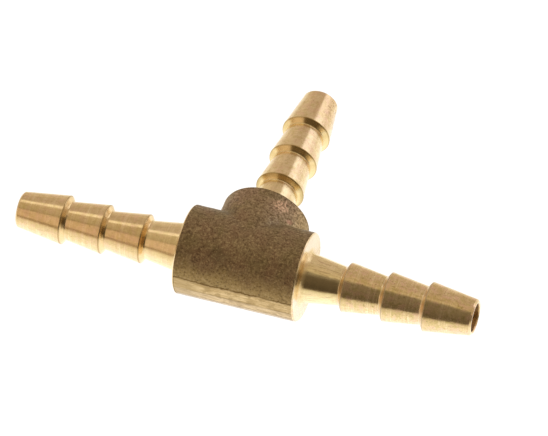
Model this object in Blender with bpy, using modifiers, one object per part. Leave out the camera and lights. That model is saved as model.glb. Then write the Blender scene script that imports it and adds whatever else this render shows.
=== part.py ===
"""Barbed tee connector: a forged brass tee body with three turned hose tails.

The two run tails lie along X, the branch tail points along +Y, and the part
lies on the plane z = 0. The forged body has a tee-shaped waterway and three
sockets. Each tail has a shank that sits in its socket and a thin machined
collar that covers the end of the body and stops the hose.
"""

import math

import bmesh
import bpy
from mathutils import Matrix, Vector

MM = 0.001

# Body
BODY_RADIUS = 6.3 * MM
BOSS_RADIUS = 6.28 * MM  # a hair below the run, so that its crown meets the run cleanly
ARM_LENGTH = 8.75 * MM  # from the crossing of the axes to each machined end face
WATERWAY_RADIUS = 2.0 * MM
BRANCH_WATERWAY_RADIUS = 1.98 * MM
SOCKET_RADIUS = 3.6 * MM
SOCKET_DEPTH = 3.2 * MM
TRIM_FLAT_DEPTH = 0.08 * MM  # where the forging flash is ground off
TRIM_FLAT_TILT = math.radians(4.0)

# Collar and fillet at the root of each tail
COLLAR_THICKNESS = 0.2 * MM
COLLAR_CHAMFER = 0.15 * MM
ROOT_FILLET = 0.7 * MM

# Tail, with its stations measured outward from the machined end face
NECK_ROOT_RADIUS = 3.58 * MM
VALLEY_RADIUS = 2.74 * MM
CREST_RADIUS = 3.47 * MM
CREST_ROUNDING = 0.14 * MM
FIRST_VALLEY = 5.37 * MM
BARB_PITCH = 5.84 * MM
BARB_COUNT = 3
BARB_RAMP = 0.52 * MM
TIP_CONE_LENGTH = 7.25 * MM
TIP_RADIUS = 2.57 * MM
TIP_CHAMFER = 0.25 * MM
MOUTH_CHAMFER = 0.15 * MM

# Fit between a tail and the body
SHANK_LENGTH = 3.0 * MM
SHANK_CHAMFER = 0.25 * MM
FIT_GAP = 0.03 * MM

SEGMENTS = 48
FILLET_STEPS = 4
ROUNDING_STEPS = 2
SMOOTH_BELOW = math.radians(25.0)
CUTTER_OVERRUN = 1.0 * MM

TAIL_LENGTH = FIRST_VALLEY + (BARB_COUNT - 1) * BARB_PITCH + TIP_CONE_LENGTH
REACH = ARM_LENGTH + TAIL_LENGTH
BODY_END = ARM_LENGTH - COLLAR_THICKNESS - FIT_GAP
HALF_FACET = math.pi / SEGMENTS
FLAT_TO_AXIS = BODY_RADIUS * math.cos(HALF_FACET)  # a facet, not an edge, faces down

# The crossing of the axes. It puts the origin under the middle of the whole part.
CROSSING = Vector((0.0, (FLAT_TO_AXIS - REACH) / 2, FLAT_TO_AXIS))

# Each arm's direction, as the turn that lays local Z along it
ARMS = {
    "run_tail_left": Matrix.Rotation(math.radians(-90.0), 4, "Y"),
    "run_tail_right": Matrix.Rotation(math.radians(90.0), 4, "Y"),
    "branch_tail": Matrix.Rotation(math.radians(-90.0), 4, "X"),
}


def clear_scene():
    for obj in list(bpy.data.objects):
        bpy.data.objects.remove(obj, do_unlink=True)


def new_collection(name):
    collection = bpy.data.collections.new(name)
    bpy.context.scene.collection.children.link(collection)
    return collection


def brass(name, color, roughness):
    material = bpy.data.materials.new(name)
    material.use_nodes = True
    shader = material.node_tree.nodes["Principled BSDF"]
    shader.inputs["Base Color"].default_value = (*color, 1.0)
    shader.inputs["Metallic"].default_value = 1.0
    shader.inputs["Roughness"].default_value = roughness
    return material


def arc(centre, radius, start, end, steps):
    """Points (r, z) along a circular arc from one angle to another, both ends included."""
    points = []
    for i in range(steps + 1):
        angle = start + (end - start) * i / steps
        points.append((centre[0] + radius * math.cos(angle), centre[1] + radius * math.sin(angle)))
    return points


def turned(name, profile, collection):
    """A ring turned about local Z from a closed outline (r, z) that runs down its outer side."""
    mesh = bpy.data.meshes.new(name)
    edges = [(i, (i + 1) % len(profile)) for i in range(len(profile))]
    mesh.from_pydata([(r, 0.0, z) for r, z in profile], edges, [])
    obj = bpy.data.objects.new(name, mesh)
    collection.objects.link(obj)
    screw = obj.modifiers.new("turn", "SCREW")
    screw.steps = SEGMENTS
    screw.render_steps = SEGMENTS
    screw.use_merge_vertices = True
    screw.merge_threshold = 1e-6
    return obj


def rod(name, radius, low, high, collection):
    """A solid cylinder about local Z, from z = low to z = high."""
    mesh = bpy.data.meshes.new(name)
    shape = bmesh.new()
    bmesh.ops.create_cone(
        shape, cap_ends=True, segments=SEGMENTS, radius1=radius, radius2=radius, depth=high - low
    )
    bmesh.ops.translate(shape, vec=(0.0, 0.0, (low + high) / 2), verts=shape.verts)
    shape.to_mesh(mesh)
    shape.free()
    obj = bpy.data.objects.new(name, mesh)
    collection.objects.link(obj)
    return obj


def place(obj, arm):
    """Lays the object's local Z along an arm of the tee, with one of its facets facing down."""
    facet_down = Matrix.Rotation(HALF_FACET, 4, "Z")
    obj.matrix_world = Matrix.Translation(CROSSING) @ ARMS[arm] @ facet_down


def boolean(obj, other, operation):
    """Joins or cuts obj with a helper, which is then hidden."""
    modifier = obj.modifiers.new(other.name, "BOOLEAN")
    modifier.operation = operation
    modifier.solver = "EXACT"
    modifier.object = other
    other.hide_render = True
    other.display_type = "WIRE"


def finish(obj, material):
    """Makes the modifiers' result the object's own mesh, shades it smooth and gives it its material."""
    bpy.context.view_layer.update()
    evaluated = obj.evaluated_get(bpy.context.evaluated_depsgraph_get())
    mesh = bpy.data.meshes.new_from_object(evaluated)
    mesh.name = obj.name
    obj.modifiers.clear()
    obj.data = mesh
    mesh.shade_smooth()
    mesh.set_sharp_from_angle(angle=SMOOTH_BELOW)
    mesh.materials.clear()
    mesh.materials.append(material)


def barbs_profile():
    """The saw-tooth outer side, from the outermost crest in to the valley beside the neck."""
    rise = CREST_RADIUS - VALLEY_RADIUS
    cone_normal = math.atan2(rise, BARB_PITCH - BARB_RAMP)
    ramp_normal = -math.atan2(rise, BARB_RAMP)
    points = []
    for barb in reversed(range(BARB_COUNT)):
        valley = ARM_LENGTH + FIRST_VALLEY + barb * BARB_PITCH
        centre = (CREST_RADIUS - CREST_ROUNDING, valley + BARB_RAMP + CREST_ROUNDING / 2)
        points += arc(centre, CREST_ROUNDING, cone_normal, ramp_normal, ROUNDING_STEPS)
        points.append((VALLEY_RADIUS, valley))
    return points


def tail_profile():
    """The whole outline of a tail: down the outside from tip to shank, then up the waterway."""
    face = ARM_LENGTH
    tip = ARM_LENGTH + TAIL_LENGTH
    collar_back = ARM_LENGTH - COLLAR_THICKNESS
    shank_end = collar_back - SHANK_LENGTH
    shank_radius = SOCKET_RADIUS - FIT_GAP
    fillet_centre = (NECK_ROOT_RADIUS + ROOT_FILLET, face + ROOT_FILLET)

    outline = [(TIP_RADIUS - TIP_CHAMFER, tip), (TIP_RADIUS, tip - TIP_CHAMFER)]
    outline += barbs_profile()
    outline += arc(fillet_centre, ROOT_FILLET, math.pi, math.pi * 1.5, FILLET_STEPS)
    outline += [
        (BODY_RADIUS - COLLAR_CHAMFER, face),
        (BODY_RADIUS, face - COLLAR_CHAMFER),
        (BODY_RADIUS, collar_back),
        (shank_radius, collar_back),
        (shank_radius, shank_end + SHANK_CHAMFER),
        (shank_radius - SHANK_CHAMFER, shank_end),
    ]
    outline += [
        (WATERWAY_RADIUS, shank_end),
        (WATERWAY_RADIUS, tip - MOUTH_CHAMFER),
        (WATERWAY_RADIUS + MOUTH_CHAMFER, tip),
    ]
    return outline


def make_tail(name, collection, material):
    tail = turned(name, tail_profile(), collection)
    place(tail, name)
    finish(tail, material)


def make_body(collection, cutters, material):
    body = rod("tee_body", BODY_RADIUS, -BODY_END, BODY_END, collection)
    place(body, "run_tail_right")

    boss = rod("boss", BOSS_RADIUS, 0.0, BODY_END, cutters)
    place(boss, "branch_tail")
    boolean(body, boss, "UNION")

    past_end = BODY_END + CUTTER_OVERRUN
    run_waterway = rod("run_waterway", WATERWAY_RADIUS, -past_end, past_end, cutters)
    place(run_waterway, "run_tail_right")
    boolean(body, run_waterway, "DIFFERENCE")

    branch_waterway = rod("branch_waterway", BRANCH_WATERWAY_RADIUS, 0.0, past_end, cutters)
    place(branch_waterway, "branch_tail")
    boolean(body, branch_waterway, "DIFFERENCE")

    for arm in ARMS:
        socket = rod(arm + "_socket", SOCKET_RADIUS, BODY_END - SOCKET_DEPTH, past_end, cutters)
        place(socket, arm)
        boolean(body, socket, "DIFFERENCE")

    boolean(body, make_trim_cutter(cutters), "DIFFERENCE")
    finish(body, material)


def make_trim_cutter(cutters):
    """A block whose inner face grinds a narrow flat along the run, opposite the branch."""
    width = 2 * (BODY_END + CUTTER_OVERRUN)
    depth = 2 * CUTTER_OVERRUN
    mesh = bpy.data.meshes.new("trim")
    shape = bmesh.new()
    bmesh.ops.create_cube(shape, size=1.0)
    bmesh.ops.scale(shape, vec=(width, depth, BODY_RADIUS), verts=shape.verts)
    outward = -(BODY_RADIUS - TRIM_FLAT_DEPTH + depth / 2)
    bmesh.ops.translate(shape, vec=(0.0, outward, 0.0), verts=shape.verts)
    shape.to_mesh(mesh)
    shape.free()
    trim = bpy.data.objects.new("trim", mesh)
    cutters.objects.link(trim)
    trim.matrix_world = Matrix.Translation(CROSSING) @ Matrix.Rotation(TRIM_FLAT_TILT, 4, "X")
    return trim


def main():
    clear_scene()
    tee = new_collection("barbed_tee_connector")
    cutters = new_collection("cutters")
    forged = brass("forged_brass", (0.125, 0.072, 0.030), 0.62)
    machined = brass("machined_brass", (0.62, 0.40, 0.17), 0.26)
    make_body(tee, cutters, forged)
    for name in ARMS:
        make_tail(name, tee, machined)


main()
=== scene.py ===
"""Looks of the barbed tee connector: forged skin, turned tails and the studio around them.

Shapes are built in millimetres from the crossing of the tee's axes, whose place
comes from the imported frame, and are moved into the frame's metres at the end.
"""

import math

import bmesh
import bpy
import numpy as np
from mathutils import Matrix, Vector, noise


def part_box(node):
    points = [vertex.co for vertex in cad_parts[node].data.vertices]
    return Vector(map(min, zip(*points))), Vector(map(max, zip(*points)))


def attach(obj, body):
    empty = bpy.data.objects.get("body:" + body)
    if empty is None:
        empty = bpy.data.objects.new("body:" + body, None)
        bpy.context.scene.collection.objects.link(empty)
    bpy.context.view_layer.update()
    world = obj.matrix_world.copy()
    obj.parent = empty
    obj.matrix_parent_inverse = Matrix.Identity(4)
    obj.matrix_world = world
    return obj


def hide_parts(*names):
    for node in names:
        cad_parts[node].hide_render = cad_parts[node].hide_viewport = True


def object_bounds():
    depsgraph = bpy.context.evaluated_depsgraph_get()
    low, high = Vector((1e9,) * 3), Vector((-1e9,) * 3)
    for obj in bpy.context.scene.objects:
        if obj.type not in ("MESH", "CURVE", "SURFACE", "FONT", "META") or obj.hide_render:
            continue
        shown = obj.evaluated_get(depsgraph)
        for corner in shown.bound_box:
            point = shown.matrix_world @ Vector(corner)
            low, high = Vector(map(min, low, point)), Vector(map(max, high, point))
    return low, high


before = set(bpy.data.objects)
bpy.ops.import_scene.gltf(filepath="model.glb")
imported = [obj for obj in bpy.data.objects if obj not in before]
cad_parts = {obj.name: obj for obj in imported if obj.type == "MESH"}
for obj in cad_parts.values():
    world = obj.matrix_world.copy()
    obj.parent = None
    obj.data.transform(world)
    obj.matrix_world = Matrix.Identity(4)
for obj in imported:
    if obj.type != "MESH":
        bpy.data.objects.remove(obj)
CAD_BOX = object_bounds()

MM = 0.001

# ---------------------------------------------------------------- sizes, mm

BODY_RADIUS = 6.3
BOSS_RADIUS = 6.28
COLLAR_THICKNESS = 0.2
COLLAR_CHAMFER = 0.15
ROOT_FILLET = 0.7
NECK_ROOT_RADIUS = 3.58
VALLEY_RADIUS = 2.74
CREST_RADIUS = 3.47
CREST_ROUNDING = 0.14
VALLEY_ROUNDING = 0.25
FIRST_VALLEY = 5.37
BARB_PITCH = 5.84
BARB_COUNT = 3
BARB_RAMP = 0.52
TIP_RADIUS = 2.57
TIP_CHAMFER = 0.25
MOUTH_CHAMFER = 0.15
WATERWAY_RADIUS = 2.0
SOCKET_RADIUS = 3.6
CREASE_BLEND = 0.35

# Flats where the forging flash is ground off: the direction each faces, its depth,
# how much its edge wanders, and the part of the body it lies on
TRIM_FLATS = [
    ((0, -0.998, -0.070), 0.080, 0.35, "all"),
    ((0, -0.940, -0.342), 0.080, 0.10, "all"),
    ((0, -0.809, -0.588), 0.080, 0.10, "all"),
    ((0, 1, 0), 0.060, 0.35, "past_boss"),
    ((1, 0, -0.03), 0.030, 0.35, "past_run"),
    ((-1, 0, -0.03), 0.030, 0.35, "past_run"),
]

# Places where the skin is worn or stained: centre, radius, colour and strength
SKIN_MARKS = [
    ((0.5, 5.5, 6.2), 3.6, (0.43, 0.32, 0.20), 0.5),
    ((3.0, 6.4, 5.5), 3.0, (0.46, 0.30, 0.19), 0.6),
    ((2.9, 6.8, 5.6), 1.5, (0.95, 0.62, 0.40), 0.95),
    ((4.5, 5.4, 4.3), 0.7, (0.62, 0.30, 0.22), 0.8),
    ((5.5, 7.2, 2.6), 2.6, (0.72, 0.53, 0.30), 0.9),
    ((5.3, 5.5, 3.3), 0.9, (0.76, 0.60, 0.36), 0.9),
    ((3.0, 2.9, 5.5), 1.6, (0.20, 0.160, 0.105), 0.7),
    ((-3.0, 7.8, 5.4), 3.2, (0.50, 0.34, 0.25), 0.85),
    ((-3.4, 6.2, 5.3), 0.4, (0.09, 0.075, 0.06), 0.9),
    ((-3.5, 3.9, 5.1), 1.5, (0.17, 0.145, 0.085), 0.8),
    ((-5.6, 2.0, 3.6), 2.2, (0.15, 0.125, 0.07), 0.85),
    ((-2.6, -4.2, 4.7), 1.6, (0.17, 0.14, 0.075), 0.6),
    ((0.5, -3.0, 5.5), 2.6, (0.42, 0.32, 0.17), 0.5),
]


def node_box(node):
    low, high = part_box(node)
    return np.array(low) / MM, np.array(high) / MM


RUN_LOW, RUN_HIGH = node_box("run_tail_right")
BRANCH_LOW, BRANCH_HIGH = node_box("branch_tail")
BODY_LOW, BODY_HIGH = node_box("tee_body")
CROSSING = np.array(
    [(BODY_LOW[0] + BODY_HIGH[0]) / 2, (RUN_LOW[1] + RUN_HIGH[1]) / 2, (RUN_LOW[2] + RUN_HIGH[2]) / 2]
)
BODY_END = BODY_HIGH[0] - CROSSING[0]
COLLAR_BACK = BODY_END + 0.03
FACE = COLLAR_BACK + COLLAR_THICKNESS
TIP = RUN_HIGH[0] - CROSSING[0]
SHANK_END = RUN_LOW[0] - CROSSING[0]

DIRECTIONS = {
    "run_tail_left": Vector((-1, 0, 0)),
    "run_tail_right": Vector((1, 0, 0)),
    "branch_tail": Vector((0, 1, 0)),
}

# How each tail came off the lathe and was handled, and where shade is painted on it: size of its dents in mm,
# strength of the scratches along its neck, roughness and tone of its barb steps, darkness of their edges, dirt in its
# first barb step, painted shade in the corners of its steps and a painted dark reflection on its neck, both on the
# side facing front and up, stains and knocks at its tip
FINISH = {
    "run_tail_left": {
        "dents": 0.005, "scratches": 0.15, "steps": 0.04, "step_tone": (0.84, 0.62, 0.31), "edges": 0.5,
        "dirt": 0.0, "corner_shade": 0.55, "stain": 0.55, "knocks": 0.0, "neck_shine": 0.35, "neck_dark_reflection": 0.0,
        "shine": 0.0, "tip_wear": 0.0, "shade": 0.0, "specks": 0.64,
    },
    "run_tail_right": {
        "dents": 0.014, "scratches": 0.45, "steps": 0.14, "step_tone": (0.86, 0.70, 0.46), "edges": 0.45,
        "dirt": 0.0, "corner_shade": 0.0, "stain": 0.9, "knocks": 0.022, "neck_shine": 0.7, "neck_dark_reflection": 0.9,
        "shine": 0.0, "tip_wear": 0.0, "shade": 0.0, "specks": 0.59,
    },
    "branch_tail": {
        "dents": 0.006, "scratches": 0.15, "steps": 0.04, "step_tone": (0.88, 0.69, 0.34), "edges": 0.4,
        "dirt": 0.4, "corner_shade": 0.0, "stain": 0.6, "knocks": 0.11, "neck_shine": 0.4, "neck_dark_reflection": 0.0,
        "shine": 0.35, "tip_wear": 0.6, "shade": 0.85, "specks": 0.64,
    },
}
# The side, towards the front and up, on which shade and a dark reflection are painted onto the tails
PAINTED_DARK_SIDE = Vector((0, -0.79, 0.61))
SHADE_SIDE = Vector((0.296, 0, 0.955))

# ---------------------------------------------------------------- mesh helpers


def add_piece(name, mesh):
    """A new object from a mesh in mm about the crossing, moved into the frame's metres."""
    mesh.transform(Matrix.Scale(MM, 4) @ Matrix.Translation(Vector(CROSSING)))
    obj = bpy.data.objects.new(name, mesh)
    bpy.context.scene.collection.objects.link(obj)
    return obj


def mesh_from(points, faces, name):
    mesh = bpy.data.meshes.new(name)
    mesh.from_pydata([tuple(p) for p in points], [], faces)
    mesh.validate()
    return mesh


def fillet(before, corner, after, radius, steps=4):
    """Points that round the corner between two straight stretches of an outline."""
    corner, before, after = (Vector(p) for p in (corner, before, after))
    to_before = (before - corner).normalized()
    to_after = (after - corner).normalized()
    half = to_before.angle(to_after) / 2
    reach = radius / math.tan(half)
    centre = corner + (to_before + to_after).normalized() * (radius / math.sin(half))
    start = corner + to_before * reach - centre
    end = corner + to_after * reach - centre
    turn = start.angle(end)
    points = []
    for i in range(steps + 1):
        t = i / steps
        mix = start * math.sin((1 - t) * turn) + end * math.sin(t * turn)
        points.append(centre + mix / math.sin(turn))
    return points


def rounded(outline, radii, steps=4):
    """The outline with each corner rounded by its radius. A radius of 0 keeps the corner sharp."""
    points = []
    for i, (corner, radius) in enumerate(zip(outline, radii)):
        if radius and 0 < i < len(outline) - 1:
            points += fillet(outline[i - 1], corner, outline[i + 1], radius, steps)
        else:
            points.append(Vector(corner))
    return points


def refined(points, spacing):
    """The outline with extra points, so that no stretch is longer than the spacing."""
    fine = [points[0]]
    for a, b in zip(points, points[1:]):
        count = max(1, math.ceil((b - a).length / spacing))
        fine += [a.lerp(b, i / count) for i in range(1, count + 1)]
    return fine


# ---------------------------------------------------------------- tails


def tail_outline():
    """(station along the arm, radius) from the shank, over the barbs, to the tip and back inside."""
    corners = [
        (SHANK_END, SOCKET_RADIUS - 0.05, 0),
        (COLLAR_BACK, SOCKET_RADIUS - 0.05, 0),
        (COLLAR_BACK, BODY_RADIUS, 0),
        (FACE - COLLAR_CHAMFER, BODY_RADIUS, 0.05),
        (FACE, BODY_RADIUS - COLLAR_CHAMFER, 0.05),
        (FACE, NECK_ROOT_RADIUS, ROOT_FILLET),
    ]
    for barb in range(BARB_COUNT):
        valley = FACE + FIRST_VALLEY + barb * BARB_PITCH
        corners += [
            (valley, VALLEY_RADIUS, VALLEY_ROUNDING),
            (valley + BARB_RAMP, CREST_RADIUS + 0.03, CREST_ROUNDING),
        ]
    corners += [
        (TIP - TIP_CHAMFER, TIP_RADIUS, 0.06),
        (TIP, TIP_RADIUS - TIP_CHAMFER, 0.06),
        (TIP, WATERWAY_RADIUS + MOUTH_CHAMFER, 0.04),
        (TIP - MOUTH_CHAMFER, WATERWAY_RADIUS, 0.05),
        (SHANK_END, WATERWAY_RADIUS, 0),
    ]
    outline = [(s, r) for s, r, _ in corners]
    return rounded(outline, [radius for _, _, radius in corners])


def tail_mesh(name, direction, finish, segments, spacing):
    """A turned tail with the small unevenness of real turning and handling."""
    across = Vector((0, 0, 1)).cross(direction)
    up = direction.cross(across)
    seed = Vector((direction.x * 7.1, direction.y * 5.3, 2.7))
    dents, knocks = finish["dents"], finish["knocks"]
    knocked = FACE + FIRST_VALLEY + (BARB_COUNT - 1) * BARB_PITCH + 1.2
    stations = refined(tail_outline(), spacing)
    points = []
    for station, radius in stations:
        for i in range(segments):
            angle = 2 * math.pi * i / segments
            radial = across * math.cos(angle) + up * math.sin(angle)
            place = direction * station + radial * radius
            uneven = 0.004 * noise.noise(place * 0.35 + seed) + dents * noise.noise(place * 0.75 + seed)
            uneven += 0.35 * dents * noise.noise(place * 2.4 + seed)
            if knocks and station > knocked and place.x > 1.6:
                uneven -= knocks * max(0.0, noise.noise(place * 2.4 + seed) - 0.16)
            points.append(place + radial * uneven)
    faces = []
    count = len(stations)
    for j in range(count):
        for i in range(segments):
            a = j * segments + i
            b = j * segments + (i + 1) % segments
            c = ((j + 1) % count) * segments + (i + 1) % segments
            d = ((j + 1) % count) * segments + i
            faces.append((a, b, c, d))
    return mesh_from(points, faces, name)


# ---------------------------------------------------------------- body


def make_cylinder(direction, radius, low, high, segments):
    shape = bmesh.new()
    bmesh.ops.create_cone(
        shape, cap_ends=True, segments=segments, radius1=radius, radius2=radius, depth=high - low
    )
    bmesh.ops.translate(shape, vec=(0, 0, (low + high) / 2), verts=shape.verts)
    turn = Vector((0, 0, 1)).rotation_difference(direction).to_matrix().to_4x4()
    bmesh.ops.transform(shape, matrix=turn, verts=shape.verts)
    mesh = bpy.data.meshes.new("helper")
    shape.to_mesh(mesh)
    shape.free()
    obj = bpy.data.objects.new("helper", mesh)
    bpy.context.scene.collection.objects.link(obj)
    return obj


def applied(obj):
    """The mesh of an object with its modifiers applied."""
    bpy.context.view_layer.update()
    evaluated = obj.evaluated_get(bpy.context.evaluated_depsgraph_get())
    return bpy.data.meshes.new_from_object(evaluated)


def boolean(obj, other, operation):
    modifier = obj.modifiers.new(operation, "BOOLEAN")
    modifier.operation = operation
    modifier.solver = "EXACT"
    modifier.object = other


def discard(*objects):
    for obj in objects:
        bpy.data.objects.remove(obj, do_unlink=True)


def skin_field(p):
    """Signed distance to the body's forged skin: two cylinders, blended where they meet at an angle."""
    run = np.hypot(p[:, 1], p[:, 2])
    boss = np.hypot(p[:, 0], p[:, 2])
    run_normal = np.stack([0 * run, p[:, 1] / run, p[:, 2] / run], 1)
    boss_normal = np.stack([p[:, 0] / boss, 0 * boss, p[:, 2] / boss], 1)
    a = run - BODY_RADIUS
    b = np.where(p[:, 1] > 0, boss - BOSS_RADIUS, 9.0)
    blend = CREASE_BLEND * (1 - (run_normal * boss_normal).sum(1)) + 1e-6
    overlap = np.maximum(blend - np.abs(a - b), 0)
    return np.minimum(a, b) - overlap**2 / (4 * blend)


def field_gradient(p, step=0.01):
    axes = np.eye(3) * step
    slope = np.stack([skin_field(p + a) - skin_field(p - a) for a in axes], 1)
    return slope / np.maximum(np.linalg.norm(slope, axis=1, keepdims=True), 1e-9)


def grain(points):
    """Height of the as-forged surface, in mm, at each point."""
    heights = []
    for p in points:
        v = Vector(p)
        coarse = noise.noise(v * 0.45)
        medium = noise.noise(v * 1.9 + Vector((3, 1, 7)))
        fine = noise.noise(v * 4.6 + Vector((9, 4, 2)))
        heights.append(0.022 * coarse + 0.016 * medium + 0.012 * fine)
    return np.array(heights)


def ground_flats(p, on_skin):
    """How deep each point lies in a ground flat, in mm, and the points with the flats ground."""
    zones = {
        "all": np.ones(len(p), bool),
        "past_boss": np.abs(p[:, 0]) > BOSS_RADIUS + 0.3,
        "past_run": p[:, 1] > BODY_RADIUS + 0.1,
    }
    deepest = np.full(len(p), -1.0)
    for direction, depth, waviness, zone in TRIM_FLATS:
        normal = np.array(direction) / np.linalg.norm(direction)
        wander = [
            noise.noise(Vector((v[0] * 0.22, v[1] * 0.22, 1.7))) + 0.4 * noise.noise(Vector((v[0], v[1], 4.5)))
            for v in p
        ]
        over = p @ normal - (BODY_RADIUS - depth * (1 + waviness * np.array(wander)))
        over = np.where(on_skin & zones[zone], over, -1.0)
        streak = [0.006 * noise.noise(Vector((v[0] * 0.25, v[1] * 0.25, v[2] * 9.0))) for v in p]
        p = p - np.outer(np.where(over > 0, over + streak, 0), normal)
        deepest = np.maximum(deepest, over)
    return deepest, p


def body_mesh(voxel):
    past = BODY_END + 1.0
    run = make_cylinder(Vector((1, 0, 0)), BODY_RADIUS, -past, past, 128)
    boss = make_cylinder(Vector((0, 1, 0)), BOSS_RADIUS, 0, past, 128)
    boolean(run, boss, "UNION")
    remesh = run.modifiers.new("remesh", "REMESH")
    remesh.mode = "VOXEL"
    remesh.voxel_size = voxel
    mesh = applied(run)
    discard(run, boss)

    p = np.zeros(len(mesh.vertices) * 3)
    mesh.vertices.foreach_get("co", p)
    p = p.reshape(-1, 3)
    on_skin = (np.abs(p[:, 0]) < past - 0.5) & (p[:, 1] < past - 0.5)
    for _ in range(4):
        q = p[on_skin]
        p[on_skin] = q - field_gradient(q) * skin_field(q)[:, None]
    normal = field_gradient(p)
    p += normal * (grain(p) * on_skin)[:, None]

    ground, p = ground_flats(p, on_skin)
    mesh.vertices.foreach_set("co", p.ravel())
    depth = mesh.attributes.new("ground_depth", "FLOAT", "POINT")
    depth.data.foreach_set("value", ground.astype(np.float32))

    shape = bmesh.new()
    shape.from_mesh(mesh)
    for plane in (Vector((BODY_END, 0, 0)), Vector((-BODY_END, 0, 0)), Vector((0, BODY_END, 0))):
        whole = shape.verts[:] + shape.edges[:] + shape.faces[:]
        cut = bmesh.ops.bisect_plane(
            shape, geom=whole, dist=1e-5, plane_co=plane, plane_no=plane.normalized(), clear_outer=True
        )
        rim = [e for e in cut["geom_cut"] if isinstance(e, bmesh.types.BMEdge)]
        bmesh.ops.holes_fill(shape, edges=rim)
    shape.to_mesh(mesh)
    shape.free()

    obj = bpy.data.objects.new("body_blank", mesh)
    bpy.context.scene.collection.objects.link(obj)
    cutters = [
        make_cylinder(Vector((1, 0, 0)), WATERWAY_RADIUS, -past, past, 96),
        make_cylinder(Vector((0, 1, 0)), WATERWAY_RADIUS - 0.02, 0, past, 96),
    ]
    for direction in DIRECTIONS.values():
        cutters.append(make_cylinder(direction, SOCKET_RADIUS, BODY_END - 3.2, past, 96))
    for cutter in cutters:
        boolean(obj, cutter, "DIFFERENCE")
    result = applied(obj)
    discard(obj, *cutters)
    return result


# ---------------------------------------------------------------- materials


class Nodes:
    """A short way to write a node tree."""

    def __init__(self, tree):
        self.tree = tree
        tree.nodes.clear()

    def add(self, kind, settings=None, **inputs):
        node = self.tree.nodes.new(kind)
        for key, value in (settings or {}).items():
            setattr(node, key, value)
        for key, value in inputs.items():
            self.set(node, key.replace("_", " "), value)
        return node

    def set(self, node, key, value):
        slot = node.inputs[int(key[1:])] if key[0] == "i" and key[1:].isdigit() else node.inputs[key]
        if isinstance(value, bpy.types.NodeSocket):
            self.tree.links.new(value, slot)
        else:
            slot.default_value = value

    def math(self, operation, a, b=0.0, c=0.0, clamp=False):
        node = self.add("ShaderNodeMath", {"operation": operation, "use_clamp": clamp}, i0=a, i1=b, i2=c)
        return node.outputs[0]

    def vector(self, operation, a, b=(0, 0, 0)):
        node = self.add("ShaderNodeVectorMath", {"operation": operation}, i0=a, i1=b)
        return node.outputs["Value"] if operation in ("DOT_PRODUCT", "LENGTH") else node.outputs["Vector"]

    def noise(self, vector, scale, detail=3.0, roughness=0.5):
        node = self.add("ShaderNodeTexNoise", Vector=vector, Scale=scale, Detail=detail, Roughness=roughness)
        return node.outputs["Fac"]

    def ramp(self, value, low, high, out_low=0.0, out_high=1.0):
        node = self.add("ShaderNodeMapRange", {"interpolation_type": "SMOOTHSTEP"})
        for key, v in (("Value", value), ("From Min", low), ("From Max", high), ("To Min", out_low), ("To Max", out_high)):
            self.set(node, key, v)
        return node.outputs[0]

    def bands(self, degrees, stops):
        """Colours at stops of (degrees, colour) between 0 and 180, blended in between."""
        node = self.add("ShaderNodeValToRGB", Fac=self.math("DIVIDE", degrees, 180.0))
        for _ in stops[2:]:
            node.color_ramp.elements.new(0.5)
        for element, (at, tone) in zip(node.color_ramp.elements, stops):
            element.position = at / 180
            element.color = color(*tone)
        return node.outputs["Color"]

    def mix(self, factor, a, b):
        node = self.add("ShaderNodeMix", {"data_type": "RGBA"})
        self.set(node, "i0", factor)
        self.set(node, "i6", a)
        self.set(node, "i7", b)
        return node.outputs[2]


def new_material(name):
    material = bpy.data.materials.new(name)
    material.use_nodes = True
    return material, Nodes(material.node_tree)


def color(r, g, b):
    return (r, g, b, 1.0)


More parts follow.
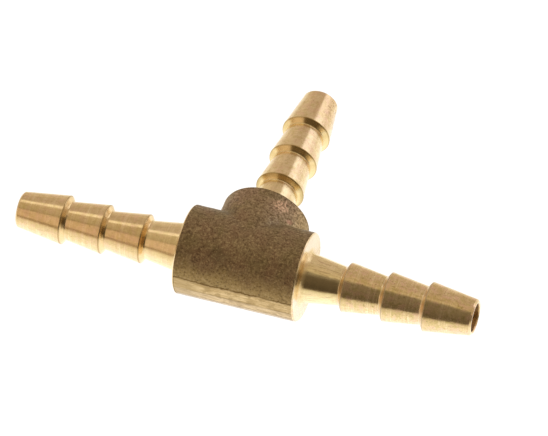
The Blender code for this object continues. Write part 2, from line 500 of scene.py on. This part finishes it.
def turned_brass(name, direction, finish):
    """Bright brass with the rings that a lathe tool leaves about the tail's axis."""
    material, n = new_material(name)
    geometry = n.add("ShaderNodeNewGeometry")
    local = n.vector("SUBTRACT", geometry.outputs["Position"], tuple(CROSSING * MM))
    local = n.vector("SCALE", local)
    local.node.inputs["Scale"].default_value = 1 / MM
    axis = tuple(direction)
    around = n.vector("NORMALIZE", n.vector("CROSS_PRODUCT", axis, local))
    tangent = n.vector("CROSS_PRODUCT", geometry.outputs["Normal"], around)
    station = n.vector("DOT_PRODUCT", local, axis)
    radial = n.vector("LENGTH", n.vector("CROSS_PRODUCT", axis, local))

    along = n.add("ShaderNodeCombineXYZ", X=station, Y=radial, Z=axis[0] * 3.1).outputs[0]
    bands = n.noise(along, 1.1, 3.0, 0.6)
    rings = n.noise(along, 5.5, 4.0, 0.75)
    fine_rings = n.noise(along, 16.0, 2.0, 0.6)
    squeezed = n.vector("SUBTRACT", local, n.vector("MULTIPLY", local, tuple(0.8 * abs(c) for c in axis)))
    streaks = n.noise(squeezed, 2.6, 4.0, 0.65)
    patches = n.noise(local, 0.9, 4.0, 0.6)
    mottle = n.noise(n.vector("ADD", local, (5.0, 2.0, 8.0)), 1.4, 4.0, 0.65)
    specks = n.ramp(n.noise(local, 3.2, 3.0, 0.6), finish["specks"], finish["specks"] + 0.08)

    tone = n.mix(n.ramp(rings, 0.40, 0.60), color(0.83, 0.628, 0.328), color(0.99, 0.795, 0.478))
    tone = n.mix(n.ramp(bands, 0.42, 0.58, 0.0, 0.5), tone, color(0.78, 0.580, 0.292))
    tone = n.mix(finish["shine"], tone, color(1.0, 0.84, 0.55))
    tip_side = n.math("MULTIPLY", n.ramp(station, TIP - 6.0, TIP - 4.6), n.ramp(n.vector("DOT_PRODUCT", local, (1, 0, 0)), 0.2, 1.0))
    tone = n.mix(n.math("MULTIPLY", tip_side, finish["tip_wear"]), tone, color(0.82, 0.58, 0.31))
    knocked = n.math("MULTIPLY", n.ramp(station, TIP - 5.2, TIP - 4.4), n.ramp(n.vector("DOT_PRODUCT", local, (1, 0, 0)), 1.6, 2.0))
    knocked = n.math("MULTIPLY", knocked, n.ramp(n.noise(local, 3.4, 3.0, 0.7), 0.53, 0.59))
    tone = n.mix(n.math("MULTIPLY", knocked, 1.4 * finish["tip_wear"]), tone, color(0.36, 0.21, 0.09))
    stain = finish["stain"]
    tone = n.mix(n.ramp(patches, 0.46, 0.62, 0.0, stain), tone, color(0.89, 0.615, 0.405))
    tone = n.mix(n.ramp(mottle, 0.49, 0.64, 0.0, stain), tone, color(0.72, 0.565, 0.250))
    tone = n.mix(n.ramp(streaks, 0.50, 0.66, 0.0, 0.5), tone, color(0.68, 0.50, 0.25))
    tone = n.mix(n.math("MULTIPLY", specks, 0.6), tone, color(0.42, 0.28, 0.12))
    flattened = n.vector("SUBTRACT", local, n.vector("MULTIPLY", local, tuple(0.95 * abs(c) for c in axis)))
    scratch = n.ramp(n.noise(flattened, 3.2, 3.0, 0.7), 0.50, 0.62)
    on_neck = n.ramp(station, FACE + FIRST_VALLEY, FACE + FIRST_VALLEY - 0.6, 0.15, 1.0)
    neck_only = n.math("MULTIPLY", n.ramp(station, FACE + FIRST_VALLEY, FACE + FIRST_VALLEY - 0.4), n.ramp(station, FACE + 0.2, FACE + 0.5))
    tone = n.mix(n.math("MULTIPLY", neck_only, finish["neck_shine"]), tone, color(1.0, 0.84, 0.48))
    scratch = n.math("MULTIPLY", n.math("MULTIPLY", scratch, on_neck), finish["scratches"])
    tone = n.mix(scratch, tone, color(0.52, 0.35, 0.175))
    rough = n.math("ADD", n.ramp(rings, 0.3, 0.7, 0.13, 0.20), n.ramp(patches, 0.3, 0.7, 0.0, 0.08))
    first = FACE + FIRST_VALLEY
    turn = n.math("FLOORED_MODULO", n.math("SUBTRACT", station, first - 1.0), BARB_PITCH)
    on_barbs = n.math(
        "MULTIPLY",
        n.ramp(station, first - 0.7, first - 0.5),
        n.ramp(station, first + 2.4 * BARB_PITCH, first + 2.3 * BARB_PITCH),
    )
    step = n.math("MULTIPLY", n.math("MULTIPLY", n.ramp(turn, 0.85, 1.0), n.ramp(turn, 1.7, 1.6)), on_barbs)
    tone = n.mix(n.math("MULTIPLY", step, 0.8), tone, color(*finish["step_tone"]))
    rough = n.math("ADD", rough, n.math("MULTIPLY", step, finish["steps"]))
    dirt = n.math("MULTIPLY", n.ramp(turn, 1.12, 1.34), n.ramp(station, first + 0.66, first + 0.56, 0.0, finish["dirt"]))
    tone = n.mix(n.math("MULTIPLY", dirt, on_barbs), tone, color(0.34, 0.25, 0.07))
    corner = n.math("ABSOLUTE", n.math("SUBTRACT", turn, 1.0 + BARB_RAMP))
    edge = n.math("MULTIPLY", n.ramp(corner, 0.14, 0.05, 0.0, finish["edges"]), on_barbs)
    tone = n.mix(edge, tone, color(0.29, 0.18, 0.060))
    outward = n.vector("NORMALIZE", n.vector("CROSS_PRODUCT", n.vector("CROSS_PRODUCT", axis, local), axis))
    facing = n.vector("DOT_PRODUCT", outward, tuple(PAINTED_DARK_SIDE))
    shaded = n.math("MULTIPLY", n.ramp(turn, 0.97, 1.06), n.ramp(n.vector("DOT_PRODUCT", outward, tuple(SHADE_SIDE)), 0.91, 0.965, 0.0, finish["shade"]))
    shaded = n.math("MULTIPLY", shaded, step)
    tone = n.mix(shaded, tone, color(0.46, 0.30, 0.11))
    # Painted shade: the corners of the barb steps are painted near black on their side towards the front and up
    pocket = n.math("MULTIPLY", n.ramp(turn, 0.80, 1.0), n.ramp(turn, 1.40, 1.22))
    corner_shade = n.math("MULTIPLY", n.math("MULTIPLY", pocket, n.ramp(facing, 0.945, 0.985)), on_barbs)
    tone = n.mix(n.math("MULTIPLY", corner_shade, finish["corner_shade"]), tone, color(0.085, 0.050, 0.018))
    # Painted dark reflection: the neck is painted darker on its side towards the front and up
    dark_reflection = n.math("MULTIPLY", neck_only, n.ramp(facing, 0.935, 0.975, 0.0, finish["neck_dark_reflection"]))
    tone = n.mix(dark_reflection, tone, color(0.50, 0.375, 0.19))
    # Painted highlight: the collar's end face is painted paler towards its top
    on_face = n.math("MULTIPLY", n.ramp(radial, NECK_ROOT_RADIUS + 0.25, NECK_ROOT_RADIUS + 0.6), n.ramp(station, FACE - 0.1, FACE - 0.04))
    height = n.vector("DOT_PRODUCT", local, (0, 0, 1))
    tone = n.mix(n.math("MULTIPLY", on_face, n.ramp(height, -1.5, 4.0, 0.0, 0.6)), tone, color(0.95, 0.83, 0.63))
    in_root = n.math("MULTIPLY", n.ramp(radial, 4.35, 4.15), n.ramp(station, FACE + 0.75, FACE + 0.45))
    tone = n.mix(n.math("MULTIPLY", in_root, 0.5), tone, color(0.90, 0.70, 0.36))
    rough = n.math("ADD", rough, n.math("MULTIPLY", in_root, 0.14))
    in_bore = n.ramp(radial, WATERWAY_RADIUS + 0.08, WATERWAY_RADIUS + 0.03)
    tone = n.mix(n.math("MULTIPLY", in_bore, 0.8), tone, color(0.64, 0.41, 0.175))
    rough = n.math("ADD", rough, n.math("MULTIPLY", in_bore, 0.12))
    marks = n.math("ADD", n.math("MULTIPLY", rings, 0.7), n.math("MULTIPLY", fine_rings, 0.3))
    bump = n.add("ShaderNodeBump", Strength=0.2, Distance=0.00001, Height=marks)
    shader = n.add("ShaderNodeBsdfPrincipled", Metallic=1.0, Roughness=rough, Anisotropic=0.75, Tangent=tangent)
    n.set(shader, "Base Color", tone)
    n.set(shader, "Normal", bump.outputs[0])
    output = n.add("ShaderNodeOutputMaterial")
    n.set(output, "Surface", shader.outputs[0])
    return material


def forged_brass():
    """Dull olive-brown forging skin with a crisp grain, and brighter metal where the flash was ground off."""
    material, n = new_material("forged_brass_skin")
    geometry = n.add("ShaderNodeNewGeometry")
    local = n.vector("SCALE", n.vector("SUBTRACT", geometry.outputs["Position"], tuple(CROSSING * MM)))
    local.node.inputs["Scale"].default_value = 1 / MM
    depth = n.add("ShaderNodeAttribute", {"attribute_name": "ground_depth"}).outputs["Fac"]

    x, y, z = n.add("ShaderNodeSeparateXYZ", Vector=local).outputs
    broad = n.noise(local, 0.35, 3.0, 0.5)
    medium = n.noise(local, 1.3, 4.0, 0.6)
    fine = n.noise(local, 3.0, 3.0, 0.7)
    grit = n.noise(local, 6.5, 2.0, 0.6)
    tone = n.mix(n.ramp(medium, 0.35, 0.65), color(0.236, 0.157, 0.078), color(0.335, 0.242, 0.130))
    tone = n.mix(n.ramp(broad, 0.50, 0.62, 0.0, 0.45), tone, color(0.285, 0.170, 0.096))
    tone = n.mix(n.ramp(broad, 0.48, 0.38, 0.0, 0.45), tone, color(0.240, 0.187, 0.078))
    for centre, radius, stain, strength in SKIN_MARKS:
        away = n.vector("LENGTH", n.vector("SUBTRACT", local, centre))
        wander = n.math("MULTIPLY", n.math("SUBTRACT", medium, 0.5), 1.4 * radius)
        near = n.ramp(n.math("ADD", away, wander), radius, 0.4 * radius)
        grainy = n.ramp(fine, 0.46, 0.60, 0.25 * strength, strength)
        tone = n.mix(n.math("MULTIPLY", near, grainy), tone, color(*stain))
    to_parting = n.math("ADD", n.math("ABSOLUTE", z), n.math("MULTIPLY", n.math("SUBTRACT", broad, 0.5), 3.0))
    worn = n.ramp(to_parting, 4.3, 1.3, 0.0, 0.7)
    tone = n.mix(worn, tone, color(0.52, 0.37, 0.150))
    tone = n.mix(n.ramp(fine, 0.53, 0.68, 0.0, 0.7), tone, color(0.56, 0.43, 0.235))
    tone = n.mix(n.ramp(grit, 0.56, 0.68, 0.0, 0.55), tone, color(0.64, 0.49, 0.28))
    tone = n.mix(n.ramp(fine, 0.46, 0.34, 0.0, 0.6), tone, color(0.105, 0.066, 0.030))
    skin_height = n.math("ADD", n.math("MULTIPLY", fine, 0.8), n.math("MULTIPLY", medium, 0.4))
    skin_bump = n.add("ShaderNodeBump", Strength=0.6, Distance=0.00008, Height=skin_height)
    skin = n.add("ShaderNodeBsdfPrincipled", Metallic=0.7, Roughness=n.ramp(fine, 0.35, 0.65, 0.60, 0.44))
    n.set(skin, "Base Color", tone)
    n.set(skin, "Normal", skin_bump.outputs[0])

    stretched = n.add(
        "ShaderNodeCombineXYZ", X=n.math("MULTIPLY", x, 0.12), Y=n.math("MULTIPLY", y, 0.3), Z=z
    ).outputs[0]
    streaks = n.noise(stretched, 4.0, 4.0, 0.7)
    blotches = n.noise(local, 0.9, 4.0, 0.65)
    ground_tone = n.mix(n.ramp(streaks, 0.35, 0.65), color(0.50, 0.345, 0.150), color(0.78, 0.595, 0.325))
    ground_tone = n.mix(n.ramp(blotches, 0.48, 0.62, 0.0, 0.75), ground_tone, color(0.42, 0.29, 0.125))
    # Darker where the ground metal is shallow, along each flat's edge: partly burr, partly a painted shade of the
    # rounded edge
    ground_tone = n.mix(n.ramp(depth, 0.060, 0.004, 0.0, 0.72), ground_tone, color(0.30, 0.195, 0.075))
    ground_tone = n.mix(n.ramp(x, -3.0, -7.5, 0.0, 0.45), ground_tone, color(0.40, 0.285, 0.125))
    ground_bump = n.add("ShaderNodeBump", Strength=0.6, Distance=0.00003, Height=streaks)
    ground = n.add("ShaderNodeBsdfPrincipled", Metallic=1.0, Roughness=0.40)
    n.set(ground, "Base Color", ground_tone)
    n.set(ground, "Normal", ground_bump.outputs[0])

    # A dark line on the skin just outside each ground flat: partly burr and oxide, partly a painted shadow of the
    # flat's edge
    burr_and_shadow = n.add("ShaderNodeBsdfPrincipled", Metallic=0.9, Roughness=0.6)
    n.set(burr_and_shadow, "Base Color", color(0.19, 0.110, 0.032))

    ragged = n.math("ADD", depth, n.math("MULTIPLY", n.math("SUBTRACT", medium, 0.5), 0.09))
    line = n.math("MULTIPLY", n.ramp(ragged, -0.044, -0.026), n.ramp(ragged, 0.008, -0.004))
    both = n.add("ShaderNodeMixShader", i0=n.ramp(ragged, -0.006, 0.004), i1=skin.outputs[0], i2=ground.outputs[0])
    lined = n.add("ShaderNodeMixShader", i0=n.math("MULTIPLY", line, n.ramp(blotches, 0.36, 0.56, 0.45, 0.9)), i1=both.outputs[0], i2=burr_and_shadow.outputs[0])
    output = n.add("ShaderNodeOutputMaterial")
    n.set(output, "Surface", lined.outputs[0])
    return material


def floor_material():
    """A light table: a glossy white acrylic sheet that glows, an even white where the camera sees it, with a painted
    pool of light brightest around the fitting.
    """
    material, n = new_material("white_table")
    geometry = n.add("ShaderNodeNewGeometry")
    local = n.vector("SCALE", n.vector("SUBTRACT", geometry.outputs["Position"], tuple(CROSSING * MM)))
    local.node.inputs["Scale"].default_value = 1 / MM
    x, y, _ = n.add("ShaderNodeSeparateXYZ", Vector=local).outputs
    across, along = n.math("ABSOLUTE", y), n.math("ABSOLUTE", x)
    from_run = n.math("MAXIMUM", across, n.math("SUBTRACT", along, TIP))
    from_branch = n.math("MAXIMUM", along, n.math("MAXIMUM", n.math("MULTIPLY", y, -1.0), n.math("SUBTRACT", y, TIP)))
    away = n.math("MINIMUM", from_run, from_branch)
    # Painted pool of light: brightest within a few mm of the fitting, fading over tens of mm, and far off painted
    # dark towards the front and paler behind
    level = n.mix(n.ramp(away, 2.0, 16.0), color(1.32, 1.34, 1.42), color(1.0, 0.97, 0.88))
    level = n.mix(n.ramp(away, 16.0, 42.0), level, color(0.86, 0.80, 0.66))
    far_level = n.mix(n.ramp(y, 20.0, 60.0), color(0.22, 0.17, 0.11), color(0.74, 0.65, 0.52))
    level = n.mix(n.ramp(away, 40.0, 90.0), level, far_level)
    seen = n.add("ShaderNodeLightPath").outputs["Is Camera Ray"]
    level = n.mix(seen, level, color(1.05, 1.05, 1.05))
    glow = n.add("ShaderNodeEmission", Color=level, Strength=FLOOR_GLOW)
    sheet = n.add("ShaderNodeBsdfDiffuse", Color=color(0.12, 0.12, 0.12))
    lit = n.add("ShaderNodeAddShader", i0=glow.outputs[0], i1=sheet.outputs[0])
    gloss = n.add("ShaderNodeBsdfGlossy", Color=color(1.0, 1.0, 1.0), Roughness=0.15)
    fresnel = n.add("ShaderNodeFresnel", IOR=1.49).outputs[0]
    mirror = n.math("MULTIPLY", fresnel, n.ramp(seen, 0.0, 1.0, 1.0, 0.25))
    surface = n.add("ShaderNodeMixShader", i0=mirror, i1=lit.outputs[0], i2=gloss.outputs[0])
    output = n.add("ShaderNodeOutputMaterial")
    n.set(output, "Surface", surface.outputs[0])
    return material


# ---------------------------------------------------------------- studio

FLOOR_GLOW = 1.0


def make_world():
    """A warm, dim room around the light table: dark in front, with a bright strip and a window behind."""
    world = bpy.data.worlds.new("studio")
    bpy.context.scene.world = world
    world.use_nodes = True
    n = Nodes(world.node_tree)
    toward = n.add("ShaderNodeTexCoord").outputs["Generated"]
    x, y, z = n.add("ShaderNodeSeparateXYZ", Vector=toward).outputs
    height = n.math("MULTIPLY", n.math("ARCTAN2", z, n.math("MULTIPLY", y, -1.0)), 180 / math.pi)

    room = (0.56, 0.46, 0.38)
    right = n.bands(
        height,
        [
            (0, (0.135, 0.108, 0.078)),
            (12, (0.145, 0.117, 0.082)),
            (70, (0.24, 0.200, 0.147)),
            (83, (0.66, 0.55, 0.40)),
            (90, (0.50, 0.41, 0.29)),
            (97, (0.60, 0.49, 0.37)),
            (112, (0.53, 0.44, 0.33)),
            (150, room),
            (165, (0.62, 0.52, 0.42)),
            (180, (0.72, 0.62, 0.50)),
        ],
    )
    left = n.bands(
        height,
        [
            (0, (0.35, 0.25, 0.15)),
            (10, (0.79, 0.60, 0.44)),
            (47, (0.74, 0.56, 0.42)),
            (54, (0.45, 0.355, 0.23)),
            (62, (0.54, 0.445, 0.305)),
            (95, (0.60, 0.485, 0.345)),
            (99, (1.15, 1.06, 0.92)),
            (109, (1.15, 1.06, 0.92)),
            (114, room),
            (148, room),
            (160, (0.66, 0.55, 0.44)),
            (170, (0.71, 0.60, 0.48)),
            (180, (0.66, 0.56, 0.45)),
        ],
    )
    level = n.mix(n.ramp(x, -0.40, -0.20), left, right)
    window = n.math("MULTIPLY", n.ramp(x, 0.19, 0.30), n.ramp(y, 0.46, 0.56))
    level = n.mix(window, level, n.mix(n.ramp(z, 0.14, 0.24), color(1.02, 0.94, 0.94), color(1.25, 1.22, 1.32)))
    seen = n.add("ShaderNodeLightPath").outputs["Is Camera Ray"]
    level = n.mix(seen, level, color(1.0, 1.0, 1.0))
    background = n.add("ShaderNodeBackground", Color=level, Strength=1.0)
    output = n.add("ShaderNodeOutputWorld")
    n.set(output, "Surface", background.outputs[0])


def make_floor():
    shape = bmesh.new()
    bmesh.ops.create_grid(shape, x_segments=1, y_segments=1, size=1.5)
    mesh = bpy.data.meshes.new("floor")
    shape.to_mesh(mesh)
    shape.free()
    floor = bpy.data.objects.new("floor", mesh)
    floor.location.z = CAD_BOX[0][2] - 0.00005
    bpy.context.scene.collection.objects.link(floor)
    mesh.materials.append(floor_material())


def make_camera():
    azimuth = math.radians(18.5)
    elevation = math.radians(45.71)
    roll = 0.0022
    distance = 0.833
    aim_right = 0.00382
    aim_up = 0.00621
    back = Vector(
        (math.sin(azimuth) * math.cos(elevation), -math.cos(azimuth) * math.cos(elevation), math.sin(elevation))
    )
    right = Vector((math.cos(azimuth), math.sin(azimuth), 0))
    up = back.cross(right)
    right, up = right * math.cos(roll) - up * math.sin(roll), up * math.cos(roll) + right * math.sin(roll)
    data = bpy.data.cameras.new("camera")
    data.sensor_width = 36
    data.lens = 397.0
    camera = bpy.data.objects.new("camera", data)
    rotation = Matrix((right, up, back)).transposed().to_4x4()
    aim = Vector(CROSSING) * MM + right * aim_right + up * aim_up
    camera.matrix_world = Matrix.Translation(aim + back * distance) @ rotation
    bpy.context.scene.collection.objects.link(camera)
    bpy.context.scene.camera = camera


# ---------------------------------------------------------------- assembly


def make_pieces():
    segments, spacing, voxel = ((224, 0.16, 0.1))
    for node, direction in DIRECTIONS.items():
        mesh = tail_mesh(node + "_turned", direction, FINISH[node], segments, spacing)
        piece = add_piece(node + "_turned", mesh)
        mesh.materials.append(turned_brass(node + "_brass", direction, FINISH[node]))
        mesh.shade_smooth()
        mesh.set_sharp_from_angle(angle=math.radians(50))
        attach(piece, "root")
        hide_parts(node)
    mesh = body_mesh(voxel)
    body = add_piece("tee_body_forged", mesh)
    mesh.materials.clear()
    mesh.materials.append(forged_brass())
    mesh.shade_smooth()
    mesh.set_sharp_from_angle(angle=math.radians(50))
    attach(body, "root")
    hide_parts("tee_body")


make_pieces()
make_world()
make_floor()
make_camera()
bpy.context.scene.view_settings.view_transform = "Standard"
